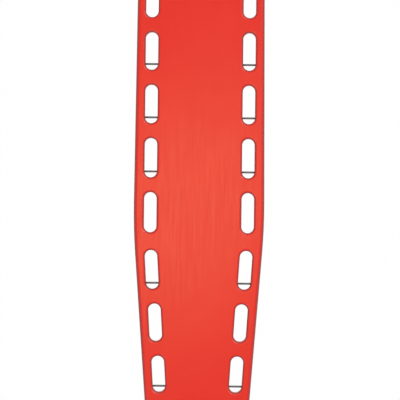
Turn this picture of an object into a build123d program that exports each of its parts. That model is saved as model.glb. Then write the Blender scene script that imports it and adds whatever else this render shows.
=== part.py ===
from build123d import *
from math import hypot, sqrt
import os

# Spine board: a rigid stretcher with a moulded skin, filled with foam, lying on its runners.
# X runs across the board, +Y points to the head end, and +Z is up to the deck that the patient lies on.
# The origin is on the floor, below the middle of the board. Sizes are in millimetres.

os.makedirs("parts", exist_ok=True)

# Plan of the board
LENGTH = 1829.0               # head end to foot end, 72 in
WAIST_WIDTH = 406.4           # at the widest place, 16 in
HEAD_WIDTH = 389.0            # between the head corners
FOOT_WIDTH = 280.0            # between the foot corners
WAIST_SHARE = 0.5383          # head end to the widest place, as a share of the length
WAIST_RADIUS = 1900.0         # rounds the bend of the sides at the waist
HEAD_CORNER_RADIUS = 60.0
FOOT_CORNER_RADIUS = 55.0
END_BOW = 8.0                 # how far each end bulges past its corners

# Section of the board
BODY_THICKNESS = 50.0         # underside to deck, without the runners
WALL = 3.5                    # skin of the moulding
DECK_EDGE_RADIUS = 11.0
BOTTOM_EDGE_RADIUS = 14.0

# Handholds
HANDHOLD_LENGTH = 124.5       # of the longest, at the waist
UPPER_SHORTER = 2.4           # how much shorter each row is than the one before it, towards the head
LOWER_SHORTER = 4.0           # the same, towards the foot
HANDHOLD_WIDTH = 39.0
RIM_BEVEL = 4.4               # on the deck and on the underside
UPPER_WEB = 46.0              # between neighbours along the nearly straight sides
UPPER_INSET = 51.8            # side of the board to the middle of a handhold, at the waist
HEAD_INSET = 43.2             # the same at the head corners
LOWER_WEB = 45.5              # between neighbours along the tapered sides
LOWER_INSET = 48.2            # tapered side to the middle of a handhold there
LOWER_TURN = 3.5              # degrees that a handhold turns to follow the taper
WAIST_WEB = 55.0              # between the handholds on either side of the waist
WAIST_OVERHANG = 14.8         # how far the upper one of those reaches past the waist
HEAD_CLEARANCE = 50.0         # least room between the head end and the handholds along the sides
SHORTEST_HANDHOLD = 90.0      # the last row may be cut down to this, to fit in
END_HANDHOLD_LENGTH = 140.0   # the crosswise handhold at each end
END_HANDHOLD_WIDTH = 40.0
END_WEB = 27.0                # an end of the board to its crosswise handhold
FOOT_CLEARANCE = 40.0         # least web between the foot's one and the handholds along the sides

# Speed-clip pins, which the strap hooks snap on to
PIN_DIAMETER = 6.0
PIN_SEAT = 11.0               # depth of each moulded socket
PIN_FIT = 0.05                # clearance all round a pin in its sockets
SOCKET_WALL = 3.5
PIN_END_GAP = 18.5            # foot end of a handhold to the middle of its pin
# Each pin is named for its row from the head. Its row from the waist follows, the nearest being 0.
UPPER_PIN_ROWS = {2: 3, 3: 2, 4: 1}
LOWER_PIN_ROWS = {6: 0, 8: 2}

# Runners under the board
RUNNER_HEIGHT = 10.0
RUNNER_WIDTH = 32.0
RUNNER_END_GAP = 294.5        # end of the board to the flat of a runner
RUNNER_RAMP = 60.0            # slope at each end
RUNNER_INSET = 84.0           # side of the foot end to the middle of a runner
RUNNER_DRAFT = 4.0            # how far each flank leans in over the runner's height
RUNNER_EDGE_RADIUS = 3.0

# Foam core and the two rods that stiffen it
FOAM_GAP = 0.3
ROD_DIAMETER = 12.0
ROD_END_GAP = 124.5           # end of the board to an end of a rod
ROD_INSET = 80.0              # side of the foot end to the middle of a rod
ROD_FIT = 0.15

# Plugs that close the two foam-filling ports in the underside
PLUG_HEAD_DIAMETER = 26.0
PLUG_HEAD_THICKNESS = 1.6
PLUG_SHANK_DIAMETER = 18.0
PLUG_SHANK_LENGTH = 9.0
PLUG_RIB = 0.7                # how far the snap rib stands out behind the skin
PLUG_FIT = 0.1
PLUG_END_GAP = 414.5          # end of the board to the middle of a plug

# Places worked out from the sizes above
HEAD_END = LENGTH / 2
FOOT_END = -LENGTH / 2
WAIST_Y = HEAD_END - WAIST_SHARE * LENGTH
UNDERSIDE = RUNNER_HEIGHT
DECK = UNDERSIDE + BODY_THICKNESS
MID_DEPTH = UNDERSIDE + BODY_THICKNESS / 2
SIDES = {"left": -1, "right": 1}
FLAT = 2 - sqrt(2)  # a bevel of this share of a radius touches the arc of that radius


def upper_share(y):
    """How far y is from the waist to the head corners, from 0 to 1."""
    return (y - WAIST_Y) / (HEAD_END - END_BOW - WAIST_Y)


def lower_share(y):
    """How far y is from the waist to the foot corners, from 0 to 1."""
    return (y - WAIST_Y) / (FOOT_END + END_BOW - WAIST_Y)


def rows_along(room, first_length, shorter, web):
    """Start and length of each row, counted from the waist outwards, while there is room."""
    rows, start, length = [], 0, first_length
    while room - start >= SHORTEST_HANDHOLD:
        rows.append((start, min(length, room - start)))
        start += length + web
        length -= shorter
    return rows


# Rows of handholds, counted from the waist: the upper ones to the head, the lower ones to the foot
first_upper_end = WAIST_Y - WAIST_OVERHANG
first_lower_end = first_upper_end - WAIST_WEB
foot_limit = FOOT_END + END_WEB + END_HANDHOLD_WIDTH + FOOT_CLEARANCE
upper_room = HEAD_END - HEAD_CLEARANCE - first_upper_end
lower_room = first_lower_end - foot_limit
upper_rows = rows_along(upper_room, HANDHOLD_LENGTH, UPPER_SHORTER, UPPER_WEB)
lower_rows = rows_along(lower_room, HANDHOLD_LENGTH - LOWER_SHORTER, LOWER_SHORTER, LOWER_WEB)


def upper_place(row, side):
    start, length = upper_rows[row]
    y = first_upper_end + start + length / 2
    at_waist, at_head = WAIST_WIDTH / 2 - UPPER_INSET, HEAD_WIDTH / 2 - HEAD_INSET
    return Location((side * (at_waist + upper_share(y) * (at_head - at_waist)), y, 0), (0, 0, 90))


def lower_place(row, side):
    start, length = lower_rows[row]
    y = first_lower_end - start - length / 2
    board_side = (WAIST_WIDTH + lower_share(y) * (FOOT_WIDTH - WAIST_WIDTH)) / 2
    return Location((side * (board_side - LOWER_INSET), y, 0), (0, 0, 90 - side * LOWER_TURN))


# Each handhold's place, length and width
end_middle = HEAD_END - END_WEB - END_HANDHOLD_WIDTH / 2
handholds = [
    (Location((0, y, 0)), END_HANDHOLD_LENGTH, END_HANDHOLD_WIDTH) for y in (end_middle, -end_middle)
]
for side in SIDES.values():
    for row, (start, length) in enumerate(upper_rows):
        handholds.append((upper_place(row, side), length, HANDHOLD_WIDTH))
    for row, (start, length) in enumerate(lower_rows):
        handholds.append((lower_place(row, side), length, HANDHOLD_WIDTH))

# A pin crosses its handhold near the end that is nearer to the feet
pin_length = HANDHOLD_WIDTH + 2 * PIN_SEAT
pin_rows = ((UPPER_PIN_ROWS, upper_rows, upper_place), (LOWER_PIN_ROWS, lower_rows, lower_place))
pin_places = {}
for name, side in SIDES.items():
    for labels, rows, place in pin_rows:
        for label, row in labels.items():
            if row < len(rows):
                from_middle = PIN_END_GAP - rows[row][1] / 2
                at = (place(row, side) * Location((from_middle, 0, 0))).position
                pin_places[f"pin_{name}_{label}"] = Location((at.X, at.Y, MID_DEPTH), (0, 90, 0))

rod_length = LENGTH - 2 * ROD_END_GAP
rod_places = {
    name: Location((side * (FOOT_WIDTH / 2 - ROD_INSET), 0, MID_DEPTH), (90, 0, 0))
    for name, side in SIDES.items()
}
plug_places = {"head": HEAD_END - PLUG_END_GAP, "foot": FOOT_END + PLUG_END_GAP}


def runner_width(z, inset):
    """Width of a runner at height z, with both drafted flanks moved in by inset."""
    lean = RUNNER_DRAFT / RUNNER_HEIGHT
    return RUNNER_WIDTH - 2 * lean * (RUNNER_HEIGHT - z) - 2 * inset * hypot(1, lean)


def runner_length(z, inset):
    """Length of a runner at height z, with both end ramps moved in by inset."""
    lean = RUNNER_RAMP / RUNNER_HEIGHT
    return LENGTH - 2 * RUNNER_END_GAP + 2 * lean * z - 2 * inset * hypot(1, lean)


# Plan of the board, with square edges
with BuildSketch() as plan:
    with BuildLine():
        head_left = (-HEAD_WIDTH / 2, HEAD_END - END_BOW)
        head_right = (HEAD_WIDTH / 2, HEAD_END - END_BOW)
        foot_right = (FOOT_WIDTH / 2, FOOT_END + END_BOW)
        foot_left = (-FOOT_WIDTH / 2, FOOT_END + END_BOW)
        ThreePointArc(head_left, (0, HEAD_END), head_right)
        Polyline(head_right, (WAIST_WIDTH / 2, WAIST_Y), foot_right)
        ThreePointArc(foot_right, (0, FOOT_END), foot_left)
        Polyline(foot_left, (-WAIST_WIDTH / 2, WAIST_Y), head_left)
    make_face()
    fillet(plan.vertices().group_by(Axis.Y)[-1], HEAD_CORNER_RADIUS)
    fillet(plan.vertices().group_by(Axis.Y)[0], FOOT_CORNER_RADIUS)
    fillet(plan.vertices().filter_by_position(Axis.Y, WAIST_Y - 1, WAIST_Y + 1), WAIST_RADIUS)


def hole_outline(length, width, inset):
    """Outline of a handhold. Inside the skin it has flats in place of arcs, so its ends are thicker."""
    with BuildSketch() as outline:
        if inset == 0:
            SlotOverall(length, width)
        else:
            Rectangle(length + 2 * inset, width + 2 * inset)
            chamfer(outline.vertices(), FLAT * (width / 2 + inset))
    return outline.sketch


def moulding(inset):
    """The board's outer form at an inset of 0, and otherwise the same form moved in by inset all round."""
    holes = [hole_outline(length, width, inset).moved(place) for place, length, width in handholds]
    with BuildPart() as form:
        with BuildSketch(Plane.XY.offset(UNDERSIDE + inset)):
            offset(plan.sketch, amount=-inset)
        extrude(amount=BODY_THICKNESS - 2 * inset)
        for radius, end in ((DECK_EDGE_RADIUS, -1), (BOTTOM_EDGE_RADIUS, 0)):
            edges = form.faces().sort_by(Axis.Z)[end].edges()
            if inset == 0:
                fillet(edges, radius)
            else:
                chamfer(edges, FLAT * (radius - inset))

        # Handholds, bevelled on both sides
        with BuildSketch():
            add(holes)
        extrude(amount=DECK, mode=Mode.SUBTRACT)
        if inset == 0:
            for end in (-1, 0):
                chamfer(form.faces().sort_by(Axis.Z)[end].inner_wires().edges(), RIM_BEVEL)

        # Runners, with drafted flanks and a ramp at each end
        for side in SIDES.values():
            for z in (inset, UNDERSIDE + inset):
                with BuildSketch(Plane.XY.offset(z)):
                    with Locations((side * (FOOT_WIDTH / 2 - RUNNER_INSET), 0)):
                        Rectangle(runner_width(z, inset), runner_length(z, inset))
            loft()
        if inset == 0:
            fillet(form.faces().group_by(Axis.Z)[0].edges(), RUNNER_EDGE_RADIUS)
    return form.part


def inside(inset):
    """The space inside the skin at an inset of WALL, with the blocks that the pins' sockets are sunk in."""
    hollow = moulding(inset)
    block = PIN_DIAMETER + 2 * (PIN_FIT + SOCKET_WALL + inset - WALL)
    with BuildPart() as space:
        add(hollow)
        with Locations(*pin_places.values()):
            Box(block, block, pin_length - PIN_DIAMETER + block, mode=Mode.SUBTRACT)
    return space.part


# Skin, moulded in one piece
outer = moulding(0)
cavity = inside(WALL)
with BuildPart() as shell:
    add(outer)
    add(cavity, mode=Mode.SUBTRACT)
    with Locations(*pin_places.values()):
        Cylinder(PIN_DIAMETER / 2 + PIN_FIT, pin_length + 2 * PIN_FIT, mode=Mode.SUBTRACT)
    for y in plug_places.values():
        with Locations((0, y, UNDERSIDE)):
            up = (Align.CENTER, Align.CENTER, Align.MIN)
            Cylinder(PLUG_SHANK_DIAMETER / 2 + PLUG_FIT, WALL, align=up, mode=Mode.SUBTRACT)
            Cylinder(
                PLUG_HEAD_DIAMETER / 2 + PLUG_FIT, PLUG_HEAD_THICKNESS, align=up, mode=Mode.SUBTRACT
            )
shell.part.label = "shell"
export_step(shell.part, "parts/shell.step")

# Foam that fills the skin, foamed round the sockets, the rods and the plugs
filling = inside(WALL + FOAM_GAP)
with BuildPart() as foam_core:
    add(filling)
    with Locations(*rod_places.values()):
        Cylinder(ROD_DIAMETER / 2 + ROD_FIT, rod_length + 2 * ROD_FIT, mode=Mode.SUBTRACT)
    for y in plug_places.values():
        with Locations((0, y, UNDERSIDE)):
            Cylinder(
                PLUG_SHANK_DIAMETER / 2 + PLUG_RIB + FOAM_GAP,
                PLUG_SHANK_LENGTH + PLUG_HEAD_THICKNESS + FOAM_GAP,
                align=(Align.CENTER, Align.CENTER, Align.MIN),
                mode=Mode.SUBTRACT,
            )
foam_core.part.label = "foam_core"
export_step(foam_core.part, "parts/foam_core.step")

# Glass-fibre rods, one each side of the middle, inside the foam
for name, place in rod_places.items():
    with BuildPart() as rod:
        with Locations(place):
            Cylinder(ROD_DIAMETER / 2, rod_length)
    rod.part.label = f"stiffener_rod_{name}"
    export_step(rod.part, f"parts/{rod.part.label}.step")

# Pins, seated at both ends in the skin's sockets
for name, place in pin_places.items():
    with BuildPart() as pin:
        with Locations(place):
            Cylinder(PIN_DIAMETER / 2, pin_length)
    pin.part.label = name
    export_step(pin.part, f"parts/{name}.step")

# Plugs, flush with the underside: a round head, a shank and a snap rib behind the skin
for name, y in plug_places.items():
    with BuildPart() as plug:
        with BuildSketch(Plane.XZ.offset(-y)):
            shank = PLUG_SHANK_DIAMETER / 2
            shoulder = UNDERSIDE + PLUG_HEAD_THICKNESS
            rib = UNDERSIDE + WALL + PLUG_FIT
            with BuildLine():
                Polyline(
                    (0, UNDERSIDE),
                    (PLUG_HEAD_DIAMETER / 2, UNDERSIDE),
                    (PLUG_HEAD_DIAMETER / 2, shoulder),
                    (shank, shoulder),
                    (shank, rib),
                    (shank + PLUG_RIB, rib),
                    (shank, shoulder + PLUG_SHANK_LENGTH),
                    (0, shoulder + PLUG_SHANK_LENGTH),
                    close=True,
                )
            make_face()
        revolve(axis=Axis((0, y, 0), (0, 0, 1)))
    plug.part.label = f"filling_plug_{name}"
    export_step(plug.part, f"parts/{plug.part.label}.step")
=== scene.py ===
from math import radians, tau

import bmesh
import bpy
from mathutils import Matrix, Vector


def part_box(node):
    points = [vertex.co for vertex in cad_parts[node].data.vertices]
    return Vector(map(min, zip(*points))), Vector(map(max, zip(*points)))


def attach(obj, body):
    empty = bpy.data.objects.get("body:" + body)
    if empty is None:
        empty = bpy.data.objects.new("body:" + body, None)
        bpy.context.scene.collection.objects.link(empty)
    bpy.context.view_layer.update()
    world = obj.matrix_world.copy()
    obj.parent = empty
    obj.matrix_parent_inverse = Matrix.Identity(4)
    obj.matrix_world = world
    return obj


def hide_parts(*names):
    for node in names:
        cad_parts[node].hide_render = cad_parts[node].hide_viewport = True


bl_info = {
    "name": "Spine Board",
    "version": (1, 0, 0),
    "blender": (4, 5, 0),
    "location": "View3D > Sidebar > Spine Board",
    "description": "Moulded skin, strap pins, filling plugs and studio for a rescue spine board",
    "category": "Object",
}

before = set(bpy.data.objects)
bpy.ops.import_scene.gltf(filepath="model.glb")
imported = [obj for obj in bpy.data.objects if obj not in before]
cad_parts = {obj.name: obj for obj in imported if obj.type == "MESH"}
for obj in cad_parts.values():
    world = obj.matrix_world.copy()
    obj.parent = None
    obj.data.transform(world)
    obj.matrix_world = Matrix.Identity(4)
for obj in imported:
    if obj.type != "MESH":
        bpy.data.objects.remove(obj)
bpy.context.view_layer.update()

SKIN = "shell"
FOAM = "foam_core"
RODS = [name for name in sorted(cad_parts) if name.startswith("stiffener_rod")]
PINS = [name for name in sorted(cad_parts) if name.startswith("pin_")]
PLUGS = [name for name in sorted(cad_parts) if name.startswith("filling_plug")]

DECK_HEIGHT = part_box(SKIN)[1].z
PIN_HEIGHT = sum(corner.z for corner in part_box(PINS[0])) / 2

SAME_PLACE = 0.00001  # points this near to each other are joined
SAME_LEVEL = 1e-6  # points this near in height lie on one level
FLAT = 0.9999  # a normal this near to upright belongs to a flat face
UPRIGHT = 0.02  # a normal this near to level belongs to an upright face
ROUNDING_FACETS = 8  # across a quarter turn


def linear(hex_colour):
    """Turns an sRGB colour such as E43A2E into linear red, green, blue and alpha."""
    shares = [int(hex_colour[i : i + 2], 16) / 255 for i in (0, 2, 4)]
    return [s / 12.92 if s <= 0.04045 else ((s + 0.055) / 1.055) ** 2.4 for s in shares] + [1.0]


def millimetres(name, description, size, **settings):
    """A length property that is written in millimetres and kept in metres."""
    return bpy.props.FloatProperty(
        name=name, description=description, default=size / 1000, precision=5, unit="LENGTH", **settings
    )


def colour(name, description, hex_colour):
    return bpy.props.FloatVectorProperty(
        name=name, description=description, default=linear(hex_colour), size=4, subtype="COLOR", min=0, max=1
    )


class SkinSettings(bpy.types.PropertyGroup):
    rim_rounding: millimetres("Rim rounding", "Width of the rounding on each edge of a handhold's bevel", 2.9)
    seam_width: millimetres("Seam width", "Width of the mould's parting line round the side", 1.6)
    seam_depth: millimetres("Seam depth", "Depth of the mould's parting line", 0.35)
    grain: millimetres("Grain", "Size of the mould's sandblast grain", 1.1)
    grain_depth: millimetres("Grain depth", "Height of the sandblast grain", 0.03)
    ripple: millimetres("Ripple", "Length of the waves that cooling leaves in the wall", 110.0)
    ripple_depth: millimetres("Ripple depth", "Height of those waves", 0.5)
    red: colour("Red", "Pigment of the polyethylene", "E52012")
    pale_red: colour("Pale red", "Pigment where the wall is thinner or rubbed", "E82516")
    # Painted shade: a grey-brown that darkens the rims' slopes and upright walls, standing in for the shade
    # at the edges of the handholds and the side.
    painted_rim_shade: colour("Scuff", "Colour that gloves and straps rub into the rims", "5E5654")
    # How strongly that painted shade darkens the rims.
    painted_rim_shade_share: bpy.props.FloatProperty(
        name="Scuff share", description="How much of the rims' colour is scuff", default=0.5, subtype="FACTOR"
    )


class HardwareSettings(bpy.types.PropertyGroup):
    pin_end_rounding: millimetres("Pin end rounding", "Rounding of a strap pin's ends", 0.5)
    drawing_line: millimetres("Drawing lines", "Spacing of the lines that the die leaves along a pin", 0.5)
    steel: colour("Steel", "Colour of the strap pins", "66666A")
    dull_steel: colour("Dull steel", "Colour of a strap pin's handled places", "4C4C50")
    plug_rim: millimetres("Plug rim", "Rounding of a plug's head", 0.5)
    plug_shank: millimetres("Plug shank", "Radius of a plug's shank", 9.0)
    plug_head: millimetres("Plug head", "Thickness of a plug's head", 1.6)
    gate_radius: millimetres("Gate mark", "Radius of the dimple that moulding leaves in a plug's head", 2.5)
    gate_depth: millimetres("Gate depth", "Depth of that dimple", 0.4)
    plug_red: colour("Plug red", "Pigment of the plugs", "B8241C")


class FillingSettings(bpy.types.PropertyGroup):
    foam: colour("Foam", "Colour of the polyurethane foam", "E8D8A6")
    cell: millimetres("Foam cell", "Size of the foam's cells", 1.2)
    glass: colour("Glass fibre", "Colour of the stiffening rods", "C8CCB4")
    strand: millimetres("Strand", "Width of a bundle of glass fibres", 0.8)


class StudioSettings(bpy.types.PropertyGroup):
    eye_height: millimetres("Eye height", "Camera to deck", 9000.0)
    view_width: millimetres("View width", "Width of the deck's plane that the picture takes in", 1240.0)
    eye_x: millimetres("Eye across", "Place of the camera across the board", 2.7)
    eye_y: millimetres("Eye along", "Place of the camera along the board", 16.9)
    roll: bpy.props.FloatProperty(
        name="Roll", description="Turn of the camera about its view", default=radians(0.62), subtype="ANGLE"
    )
    floor_size: millimetres("Floor size", "Side of the square floor", 12000.0)
    floor_shade: colour("Floor", "Colour of the floor", "D0D0D0")
    floor_glow: bpy.props.FloatProperty(
        name="Floor glow", description="How far the floor shows plain white", default=0.99, subtype="FACTOR"
    )
    sky: bpy.props.FloatProperty(name="Sky", description="Strength of the even light all round", default=0.2)
    key: bpy.props.FloatProperty(
        name="Key", description="Power of the large lamp past the head end", default=905.0, unit="POWER"
    )
    fill: bpy.props.FloatProperty(
        name="Fill", description="Power of the large lamp past the foot end", default=440.0, unit="POWER"
    )
    strip: bpy.props.FloatProperty(
        name="Strip", description="Power of the strip overhead", default=9.0, unit="POWER"
    )
    strip_tint: colour("Strip tint", "Colour of the strip overhead", "FFF6B8")


def add_node(tree, kind, sockets=None, **settings):
    """Adds a node. Each of its sockets takes a value, or the output of another node."""
    node = tree.nodes.new(kind)
    for name, value in settings.items():
        setattr(node, name, value)
    for name, value in (sockets or {}).items():
        if isinstance(value, bpy.types.NodeSocket):
            tree.links.new(value, node.inputs[name])
        else:
            node.inputs[name].default_value = value
    return node


def new_material(name):
    """An empty material with nodes, and its node tree."""
    material = bpy.data.materials.new(name)
    material.use_nodes = True
    material.node_tree.nodes.clear()
    return material, material.node_tree


def finish_material(material, tree, shader):
    """Gives the material its surface."""
    add_node(tree, "ShaderNodeOutputMaterial", {"Surface": shader})
    return material


def place_along(tree, scale=(1, 1, 1)):
    """Object coordinates in metres, stretched by scale."""
    place = add_node(tree, "ShaderNodeTexCoord").outputs["Object"]
    return add_node(tree, "ShaderNodeMapping", {"Vector": place, "Scale": scale}).outputs["Vector"]


def painted_rim_shade_mask(tree, settings):
    """How much painted shade a place gets: none on the flats, most on the rims' slopes and a third of that on
    upright walls, in patches of about 17 mm."""
    normal = add_node(tree, "ShaderNodeNewGeometry").outputs["Normal"]
    height = add_node(tree, "ShaderNodeSeparateXYZ", {"Vector": normal}).outputs["Z"]
    level = add_node(tree, "ShaderNodeMath", {0: height}, operation="ABSOLUTE").outputs[0]
    slope = add_node(
        tree, "ShaderNodeMapRange", {"Value": level, "From Min": 0.99, "From Max": 0.75}
    ).outputs["Result"]
    upright = add_node(
        tree, "ShaderNodeMapRange", {"Value": level, "From Max": 0.3, "To Min": 0.35}
    ).outputs["Result"]
    patches = add_node(
        tree, "ShaderNodeTexNoise", {"Vector": place_along(tree), "Scale": 60.0, "Detail": 3.0}
    ).outputs["Fac"]
    patchy = add_node(
        tree,
        "ShaderNodeMapRange",
        {"Value": patches, "From Min": 0.3, "From Max": 0.7, "To Min": 0.7, "To Max": 1.3},
    ).outputs["Result"]
    share = slope
    for factor in (upright, patchy, settings.painted_rim_shade_share):
        share = add_node(tree, "ShaderNodeMath", {0: share, 1: factor}, operation="MULTIPLY").outputs[0]
    return share


def rotomoulded_polyethylene(settings):
    """Polyethylene, tumbled as powder in a sandblasted mould: a soft gloss, a fine even grain and long
    shallow waves where the wall shrank as it cooled, so that highlights are broad and never quite straight.
    The grain is drawn coarser than the real 0.2 mm, to show at all."""
    material, tree = new_material("rotomoulded_polyethylene")
    place = place_along(tree)
    clouds = add_node(
        tree, "ShaderNodeTexNoise", {"Vector": place, "Scale": 1 / settings.ripple, "Detail": 2.0}
    ).outputs["Fac"]
    tint = add_node(
        tree, "ShaderNodeMapRange", {"Value": clouds, "From Min": 0.3, "From Max": 0.7}
    ).outputs["Result"]
    pigment = add_node(
        tree, "ShaderNodeMix", {0: tint, 6: settings.red, 7: settings.pale_red}, data_type="RGBA"
    ).outputs[2]
    # Painted shade: the rims' slopes and walls are mixed toward the grey-brown in patches, which darkens the
    # edges as shade would.
    with_painted_rim_shade = add_node(
        tree,
        "ShaderNodeMix",
        {0: painted_rim_shade_mask(tree, settings), 6: pigment, 7: settings.painted_rim_shade},
        data_type="RGBA",
    ).outputs[2]
    # Streaks that a patient's clothes rub along the deck, about 5 mm wide and 110 mm long
    rubbed = add_node(
        tree,
        "ShaderNodeTexNoise",
        {"Vector": place_along(tree, (220, 9, 60)), "Scale": 1.0, "Detail": 3.0},
    ).outputs["Fac"]
    rough = add_node(
        tree,
        "ShaderNodeMapRange",
        {"Value": rubbed, "From Min": 0.35, "From Max": 0.75, "To Min": 0.31, "To Max": 0.39},
    ).outputs["Result"]
    waves = add_node(
        tree, "ShaderNodeBump", {"Height": clouds, "Distance": settings.ripple_depth, "Strength": 1.0}
    ).outputs["Normal"]
    grain = add_node(
        tree, "ShaderNodeTexNoise", {"Vector": place, "Scale": 1 / settings.grain, "Detail": 2.0}
    ).outputs["Fac"]
    sandblast = add_node(
        tree,
        "ShaderNodeBump",
        {"Height": grain, "Distance": settings.grain_depth, "Strength": 1.0, "Normal": waves},
    ).outputs["Normal"]
    plastic = add_node(
        tree,
        "ShaderNodeBsdfPrincipled",
        {"Base Color": with_painted_rim_shade, "Roughness": rough, "IOR": 1.38, "Normal": sandblast},
    ).outputs["BSDF"]
    return finish_material(material, tree, plastic)


def drawn_stainless_steel(settings):
    """Stainless bar, pulled through a die: a grey satin metal with fine lines along its length, duller where
    the strap hooks have rubbed."""
    material, tree = new_material("drawn_stainless_steel")
    lines = add_node(
        tree,
        "ShaderNodeTexNoise",
        {"Vector": place_along(tree, (0.02, 1, 1)), "Scale": 1 / settings.drawing_line, "Detail": 2.0},
    ).outputs["Fac"]
    rubbed = add_node(
        tree, "ShaderNodeTexNoise", {"Vector": place_along(tree), "Scale": 130.0, "Detail": 1.0}
    ).outputs["Fac"]
    shade = add_node(
        tree, "ShaderNodeMix", {0: rubbed, 6: settings.steel, 7: settings.dull_steel}, data_type="RGBA"
    ).outputs[2]
    rough = add_node(
        tree, "ShaderNodeMapRange", {"Value": lines, "To Min": 0.28, "To Max": 0.46}
    ).outputs["Result"]
    relief = add_node(
        tree, "ShaderNodeBump", {"Height": lines, "Distance": 0.00002, "Strength": 1.0}
    ).outputs["Normal"]
    metal = add_node(
        tree,
        "ShaderNodeBsdfPrincipled",
        {"Base Color": shade, "Metallic": 1.0, "Roughness": rough, "Normal": relief},
    ).outputs["BSDF"]
    return finish_material(material, tree, metal)


def injection_moulded_plug(settings):
    """Polyethylene pressed into a polished mould: darker than the skin, even, with a low gloss."""
    material, tree = new_material("injection_moulded_plug")
    flow = add_node(
        tree, "ShaderNodeTexNoise", {"Vector": place_along(tree), "Scale": 160.0, "Detail": 2.0}
    ).outputs["Fac"]
    rough = add_node(
        tree, "ShaderNodeMapRange", {"Value": flow, "To Min": 0.42, "To Max": 0.58}
    ).outputs["Result"]
    relief = add_node(
        tree, "ShaderNodeBump", {"Height": flow, "Distance": 0.00005, "Strength": 1.0}
    ).outputs["Normal"]
    plastic = add_node(
        tree,
        "ShaderNodeBsdfPrincipled",
        {"Base Color": settings.plug_red, "Roughness": rough, "IOR": 1.5, "Normal": relief},
    ).outputs["BSDF"]
    return finish_material(material, tree, plastic)


def polyurethane_foam(settings):
    """Rigid foam that rose in place: cream, matt, with closed cells about a millimetre across."""
    material, tree = new_material("polyurethane_foam")
    cells = add_node(
        tree, "ShaderNodeTexVoronoi", {"Vector": place_along(tree), "Scale": 1 / settings.cell}
    ).outputs["Distance"]
    relief = add_node(
        tree, "ShaderNodeBump", {"Height": cells, "Distance": settings.cell / 4, "Strength": 1.0}
    ).outputs["Normal"]
    matt = add_node(
        tree,
        "ShaderNodeBsdfPrincipled",
        {"Base Color": settings.foam, "Roughness": 0.9, "IOR": 1.45, "Normal": relief},
    ).outputs["BSDF"]
    return finish_material(material, tree, matt)


def pultruded_glass_fibre(settings):
    """Glass strands pulled through resin: pale green-grey, with streaks along the rod."""
    material, tree = new_material("pultruded_glass_fibre")
    strands = add_node(
        tree,
        "ShaderNodeTexNoise",
        {"Vector": place_along(tree, (1, 0.01, 1)), "Scale": 1 / settings.strand, "Detail": 2.0},
    ).outputs["Fac"]
    rough = add_node(
        tree, "ShaderNodeMapRange", {"Value": strands, "To Min": 0.3, "To Max": 0.55}
    ).outputs["Result"]
    relief = add_node(
        tree, "ShaderNodeBump", {"Height": strands, "Distance": 0.00004, "Strength": 1.0}
    ).outputs["Normal"]
    resin = add_node(
        tree,
        "ShaderNodeBsdfPrincipled",
        {"Base Color": settings.glass, "Roughness": rough, "IOR": 1.54, "Normal": relief},
    ).outputs["BSDF"]
    return finish_material(material, tree, resin)


def new_piece(name, bm, material, node, sharp=radians(35)):
    """Turns a bmesh into a finished piece that stands for a CAD node and rides with it."""
    mesh = bpy.data.meshes.new(name)
    bm.to_mesh(mesh)
    bm.free()
    mesh.shade_smooth()
    mesh.set_sharp_from_angle(angle=sharp)
    mesh.materials.append(material)
    piece = bpy.data.objects.new(name, mesh)
    bpy.context.scene.collection.objects.link(piece)
    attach(piece, "root")
    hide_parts(node)
    return piece


def merged_copy(node):
    """A copy of a node's mesh whose loose triangles are joined."""
    bm = bmesh.new()
    bm.from_mesh(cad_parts[node].data)
    bmesh.ops.remove_doubles(bm, verts=bm.verts, dist=SAME_PLACE)
    return bm


def spread(start, allowed):
    """All the faces that can be reached from the start over allowed neighbours."""
    found, ahead = set(start), list(start)
    while ahead:
        for edge in ahead.pop().edges:
            for face in edge.link_faces:
                if face not in found and allowed(face):
                    found.add(face)
                    ahead.append(face)
    return found


def on_level(piece, *levels):
    """Whether all corners of an edge or a face lie on one of the levels."""
    return all(min(abs(vertex.co.z - level) for level in levels) < SAME_LEVEL for vertex in piece.verts)


def lowest_and_highest(faces):
    """The heights of some faces' lowest and highest corners."""
    heights = [vertex.co.z for face in faces for vertex in face.verts]
    return min(heights), max(heights)


def lay_roundings(bm):
    """Lays the roundings round the deck and the underside anew in even facets, because a few of the CAD
    mesh's facets cut straight across them. Their sizes come from the mesh itself."""
    wall = side_wall(bm)
    side = spread(wall, lambda face: abs(face.normal.z) < FLAT)
    low, high = lowest_and_highest(side)
    wall_low, wall_high = lowest_and_highest(wall)
    cuts = ((wall_high, high), (wall_low, low))
    old = [face for face in bm.faces if face not in wall and (face in side or on_level(face, low, high))]
    bmesh.ops.delete(bm, geom=old, context="FACES")
    for start, level in cuts:
        rim = [edge for edge in bm.edges if edge.is_boundary and on_level(edge, start)]
        drawn = bmesh.ops.extrude_edge_only(bm, edges=rim)["geom"]
        for vertex in drawn:
            if isinstance(vertex, bmesh.types.BMVert):
                vertex.co.z = level
        gap = [edge for edge in bm.edges if edge.is_boundary and on_level(edge, level)]
        bmesh.ops.triangle_fill(bm, edges=gap, use_beauty=True, normal=(0, 0, level - start))
    bmesh.ops.recalc_face_normals(bm, faces=bm.faces)
    join_flats(bm)
    for start, level in cuts:
        corner = [edge for edge in edges_between(bm, 80, 100, convex=True) if on_level(edge, level)]
        round_edges(bm, corner, abs(level - start), ROUNDING_FACETS)


def join_flats(bm):
    """Joins triangles that lie flat beside each other into larger faces."""
    bmesh.ops.dissolve_limit(bm, angle_limit=radians(0.5), verts=bm.verts, edges=bm.edges)


def round_edges(bm, edges, width, facets):
    """Rounds edges, from this far beside them."""
    bmesh.ops.bevel(
        bm, geom=edges, offset=width, segments=facets, profile=0.5, affect="EDGES", material=-1
    )


def edges_between(bm, least, most, convex):
    """The edges at which two faces meet at an angle between least and most degrees."""
    return [
        edge
        for edge in bm.edges
        if edge.is_manifold
        and edge.is_convex == convex
        and radians(least) < edge.calc_face_angle() < radians(most)
    ]


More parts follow.
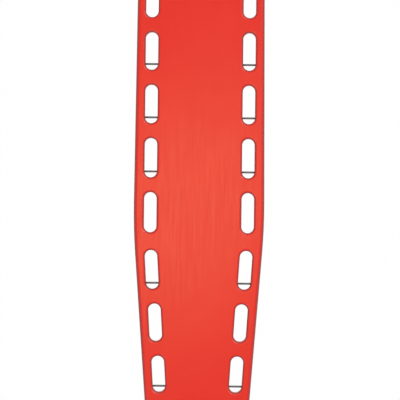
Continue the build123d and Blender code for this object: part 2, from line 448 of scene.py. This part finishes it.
def side_wall(bm):
    """The upright faces round the board's side, without those in the handholds and in the hollow."""
    upright = {face for face in bm.faces if abs(face.normal.z) < UPRIGHT}
    walls = []
    while upright:
        wall = spread([upright.pop()], lambda face: face in upright)
        upright -= wall
        walls.append(wall)
    return max(walls, key=reach)


def reach(faces):
    """How far some faces reach along the board."""
    places = [vertex.co.y for face in faces for vertex in face.verts]
    return max(places) - min(places)


def press_seam(bm, height, width, depth):
    """Cuts the mould's parting line as a fine groove round the board's side."""
    for level in (height - width / 2, height, height + width / 2):
        wall = side_wall(bm)
        cut = [
            part
            for parts in (bm.verts, bm.edges)
            for part in parts
            if any(face in wall for face in part.link_faces)
        ]
        cut += [face for face in bm.faces if face in wall]
        bmesh.ops.bisect_plane(bm, geom=cut, dist=SAME_LEVEL / 10, plane_co=(0, 0, level), plane_no=(0, 0, 1))
    bm.normal_update()
    wall = side_wall(bm)
    bottom = [
        vertex
        for vertex in bm.verts
        if abs(vertex.co.z - height) < width / 10 and any(face in wall for face in vertex.link_faces)
    ]
    for vertex in bottom:
        vertex.co -= vertex.normal * depth


class BOARD_OT_skin(bpy.types.Operator):
    """Round the rims of the moulded skin, press its parting line and give it its finish"""

    bl_idname = "spine_board.skin"
    bl_label = "Moulded Skin"

    def execute(self, context):
        settings = context.scene.board_skin
        bm = merged_copy(SKIN)
        lay_roundings(bm)
        rims = edges_between(bm, 30, 60, convex=True)
        round_edges(bm, rims, settings.rim_rounding, ROUNDING_FACETS // 2)
        press_seam(bm, PIN_HEIGHT, settings.seam_width, settings.seam_depth)
        piece = new_piece("skin", bm, rotomoulded_polyethylene(settings), SKIN)
        normals = piece.modifiers.new("even_shading", "WEIGHTED_NORMAL")
        normals.keep_sharp = True
        return {"FINISHED"}


class BOARD_OT_pins(bpy.types.Operator):
    """Make the steel strap pins that cross the handholds"""

    bl_idname = "spine_board.pins"
    bl_label = "Strap Pins"

    def execute(self, context):
        settings = context.scene.board_hardware
        steel = drawn_stainless_steel(settings)
        for node in PINS:
            low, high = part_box(node)
            radius = (high.z - low.z) / 2
            across = Matrix.Translation((low + high) / 2) @ Matrix.Rotation(tau / 4, 4, "Y")
            bm = bmesh.new()
            bmesh.ops.create_cone(
                bm,
                cap_ends=True,
                segments=48,
                radius1=radius,
                radius2=radius,
                depth=high.x - low.x,
                matrix=across,
            )
            round_edges(bm, edges_between(bm, 60, 120, convex=True), settings.pin_end_rounding, 3)
            new_piece(f"strap_{node}", bm, steel, node)
        return {"FINISHED"}


class BOARD_OT_plugs(bpy.types.Operator):
    """Make the plugs that close the filling ports in the underside"""

    bl_idname = "spine_board.plugs"
    bl_label = "Filling Plugs"

    def execute(self, context):
        settings = context.scene.board_hardware
        plastic = injection_moulded_plug(settings)
        for node in PLUGS:
            low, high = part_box(node)
            head, shank, rim = (high.x - low.x) / 2, settings.plug_shank, settings.plug_rim
            shoulder = low.z + settings.plug_head
            profile = [
                (0, low.z + settings.gate_depth),
                (settings.gate_radius * 0.7, low.z + settings.gate_depth),
                (settings.gate_radius, low.z),
                (head - rim, low.z),
                (head - 0.3 * rim, low.z + 0.3 * rim),
                (head, low.z + rim),
                (head, shoulder),
                (shank, shoulder),
                (shank, high.z - rim),
                (shank - rim, high.z),
                (0, high.z),
            ]
            middle = (low + high) / 2
            bm = bmesh.new()
            corners = [bm.verts.new((middle.x + r, middle.y, z)) for r, z in profile]
            edges = [bm.edges.new(pair) for pair in zip(corners, corners[1:])]
            bmesh.ops.spin(
                bm, geom=corners + edges, cent=middle, axis=(0, 0, 1), angle=tau, steps=64, use_merge=True
            )
            bmesh.ops.remove_doubles(bm, verts=bm.verts, dist=SAME_PLACE)
            bmesh.ops.recalc_face_normals(bm, faces=bm.faces)
            new_piece(f"{node}_moulded", bm, plastic, node)
        return {"FINISHED"}


class BOARD_OT_filling(bpy.types.Operator):
    """Give the foam core and the stiffening rods inside the skin their finish"""

    bl_idname = "spine_board.filling"
    bl_label = "Foam and Rods"

    def execute(self, context):
        settings = context.scene.board_filling
        finishes = {FOAM: polyurethane_foam(settings)} | dict.fromkeys(RODS, pultruded_glass_fibre(settings))
        for node, material in finishes.items():
            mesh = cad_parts[node].data
            mesh.materials.clear()
            mesh.materials.append(material)
        return {"FINISHED"}


def add_lamp(name, place, size, turn, power, tint=(1, 1, 1)):
    """An area lamp that points to the middle of the board, turned about its own beam by some degrees."""
    lamp = bpy.data.lights.new(name, "AREA")
    lamp.shape = "RECTANGLE"
    lamp.size, lamp.size_y = size
    lamp.energy = power
    lamp.color = tint
    stand = bpy.data.objects.new(name, lamp)
    stand.location = place
    aim = (-Vector(place)).to_track_quat("-Z", "Y").to_matrix().to_4x4()
    stand.rotation_euler = (aim @ Matrix.Rotation(radians(turn), 4, "Z")).to_euler()
    bpy.context.scene.collection.objects.link(stand)


def seen_plainly(tree):
    """1 for what the camera sees directly, or in a metal or a glass, and 0 for light that falls on things."""
    path = add_node(tree, "ShaderNodeLightPath").outputs
    seen = add_node(
        tree, "ShaderNodeMath", {0: path["Is Camera Ray"], 1: path["Is Glossy Ray"]}, operation="MAXIMUM"
    ).outputs[0]
    return add_node(
        tree, "ShaderNodeMath", {0: seen, 1: path["Is Transmission Ray"]}, operation="MAXIMUM"
    ).outputs[0]


class BOARD_OT_studio(bpy.types.Operator):
    """Lay the white floor and set the lamps, the even light and the camera above the board"""

    bl_idname = "spine_board.studio"
    bl_label = "Studio"

    def execute(self, context):
        scene, settings = context.scene, context.scene.board_studio
        self.lay_floor(settings)
        self.light(scene, settings)
        self.aim_camera(scene, settings)
        scene.view_settings.view_transform = "Standard"
        return {"FINISHED"}

    def lay_floor(self, settings):
        bm = bmesh.new()
        bmesh.ops.create_grid(bm, x_segments=1, y_segments=1, size=settings.floor_size / 2)
        mesh = bpy.data.meshes.new("floor")
        bm.to_mesh(mesh)
        bm.free()
        floor = bpy.data.objects.new("floor", mesh)
        bpy.context.scene.collection.objects.link(floor)
        material, tree = new_material("white_paper")
        paper = add_node(
            tree, "ShaderNodeBsdfDiffuse", {"Color": settings.floor_shade, "Roughness": 0.6}
        ).outputs["BSDF"]
        white = add_node(tree, "ShaderNodeEmission", {"Strength": 1.0}).outputs["Emission"]
        share = add_node(
            tree, "ShaderNodeMath", {0: seen_plainly(tree), 1: settings.floor_glow}, operation="MULTIPLY"
        ).outputs[0]
        shader = add_node(tree, "ShaderNodeMixShader", {0: share, 1: paper, 2: white}).outputs["Shader"]
        mesh.materials.append(finish_material(material, tree, shader))

    def light(self, scene, settings):
        world = bpy.data.worlds.new("studio")
        world.use_nodes = True
        tree = world.node_tree
        tree.nodes.clear()
        strength = add_node(
            tree, "ShaderNodeMapRange", {"Value": seen_plainly(tree), "To Min": settings.sky, "To Max": 1.0}
        ).outputs["Result"]
        sky = add_node(
            tree, "ShaderNodeBackground", {"Color": (1, 1, 1, 1), "Strength": strength}
        ).outputs["Background"]
        add_node(tree, "ShaderNodeOutputWorld", {"Surface": sky})
        scene.world = world
        # The key and the fill are too far aside to shine off the deck into the camera, as the strip does.
        add_lamp("key", (5.3, 5.2, 11.9), (4.0, 4.0), 0, settings.key)
        add_lamp("fill", (-5.3, -5.2, 11.9), (4.0, 4.0), 0, settings.fill)
        add_lamp("strip", (-0.06, -0.02, 2.2), (0.4, 0.8), 35, settings.strip, settings.strip_tint[:3])

    def aim_camera(self, scene, settings):
        camera = bpy.data.cameras.new("camera")
        camera.lens = camera.sensor_width * settings.eye_height / settings.view_width
        stand = bpy.data.objects.new("camera", camera)
        stand.location = (settings.eye_x, settings.eye_y, DECK_HEIGHT + settings.eye_height)
        stand.rotation_euler = (0, 0, settings.roll)
        scene.collection.objects.link(stand)
        scene.camera = stand


GROUPS = {
    "board_skin": SkinSettings,
    "board_hardware": HardwareSettings,
    "board_filling": FillingSettings,
    "board_studio": StudioSettings,
}
OPERATORS = (BOARD_OT_skin, BOARD_OT_pins, BOARD_OT_plugs, BOARD_OT_filling, BOARD_OT_studio)


class BOARD_PT_panel(bpy.types.Panel):
    """Lists the steps that dress the board"""

    bl_idname = "BOARD_PT_panel"
    bl_label = "Spine Board"
    bl_space_type = "VIEW_3D"
    bl_region_type = "UI"
    bl_category = "Spine Board"

    def draw(self, context):
        for operator in OPERATORS:
            self.layout.operator(operator.bl_idname)
        for group, kind in GROUPS.items():
            box = self.layout.box()
            for name in kind.__annotations__:
                box.prop(getattr(context.scene, group), name)


def register():
    for kind in (*GROUPS.values(), *OPERATORS, BOARD_PT_panel):
        bpy.utils.register_class(kind)
    for name, kind in GROUPS.items():
        setattr(bpy.types.Scene, name, bpy.props.PointerProperty(type=kind))


def unregister():
    for name in GROUPS:
        delattr(bpy.types.Scene, name)
    for kind in (BOARD_PT_panel, *OPERATORS, *GROUPS.values()):
        bpy.utils.unregister_class(kind)


def main():
    register()
    bpy.ops.spine_board.skin()
    bpy.ops.spine_board.pins()
    bpy.ops.spine_board.plugs()
    bpy.ops.spine_board.filling()
    bpy.ops.spine_board.studio()


if __name__ == "__main__":
    main()
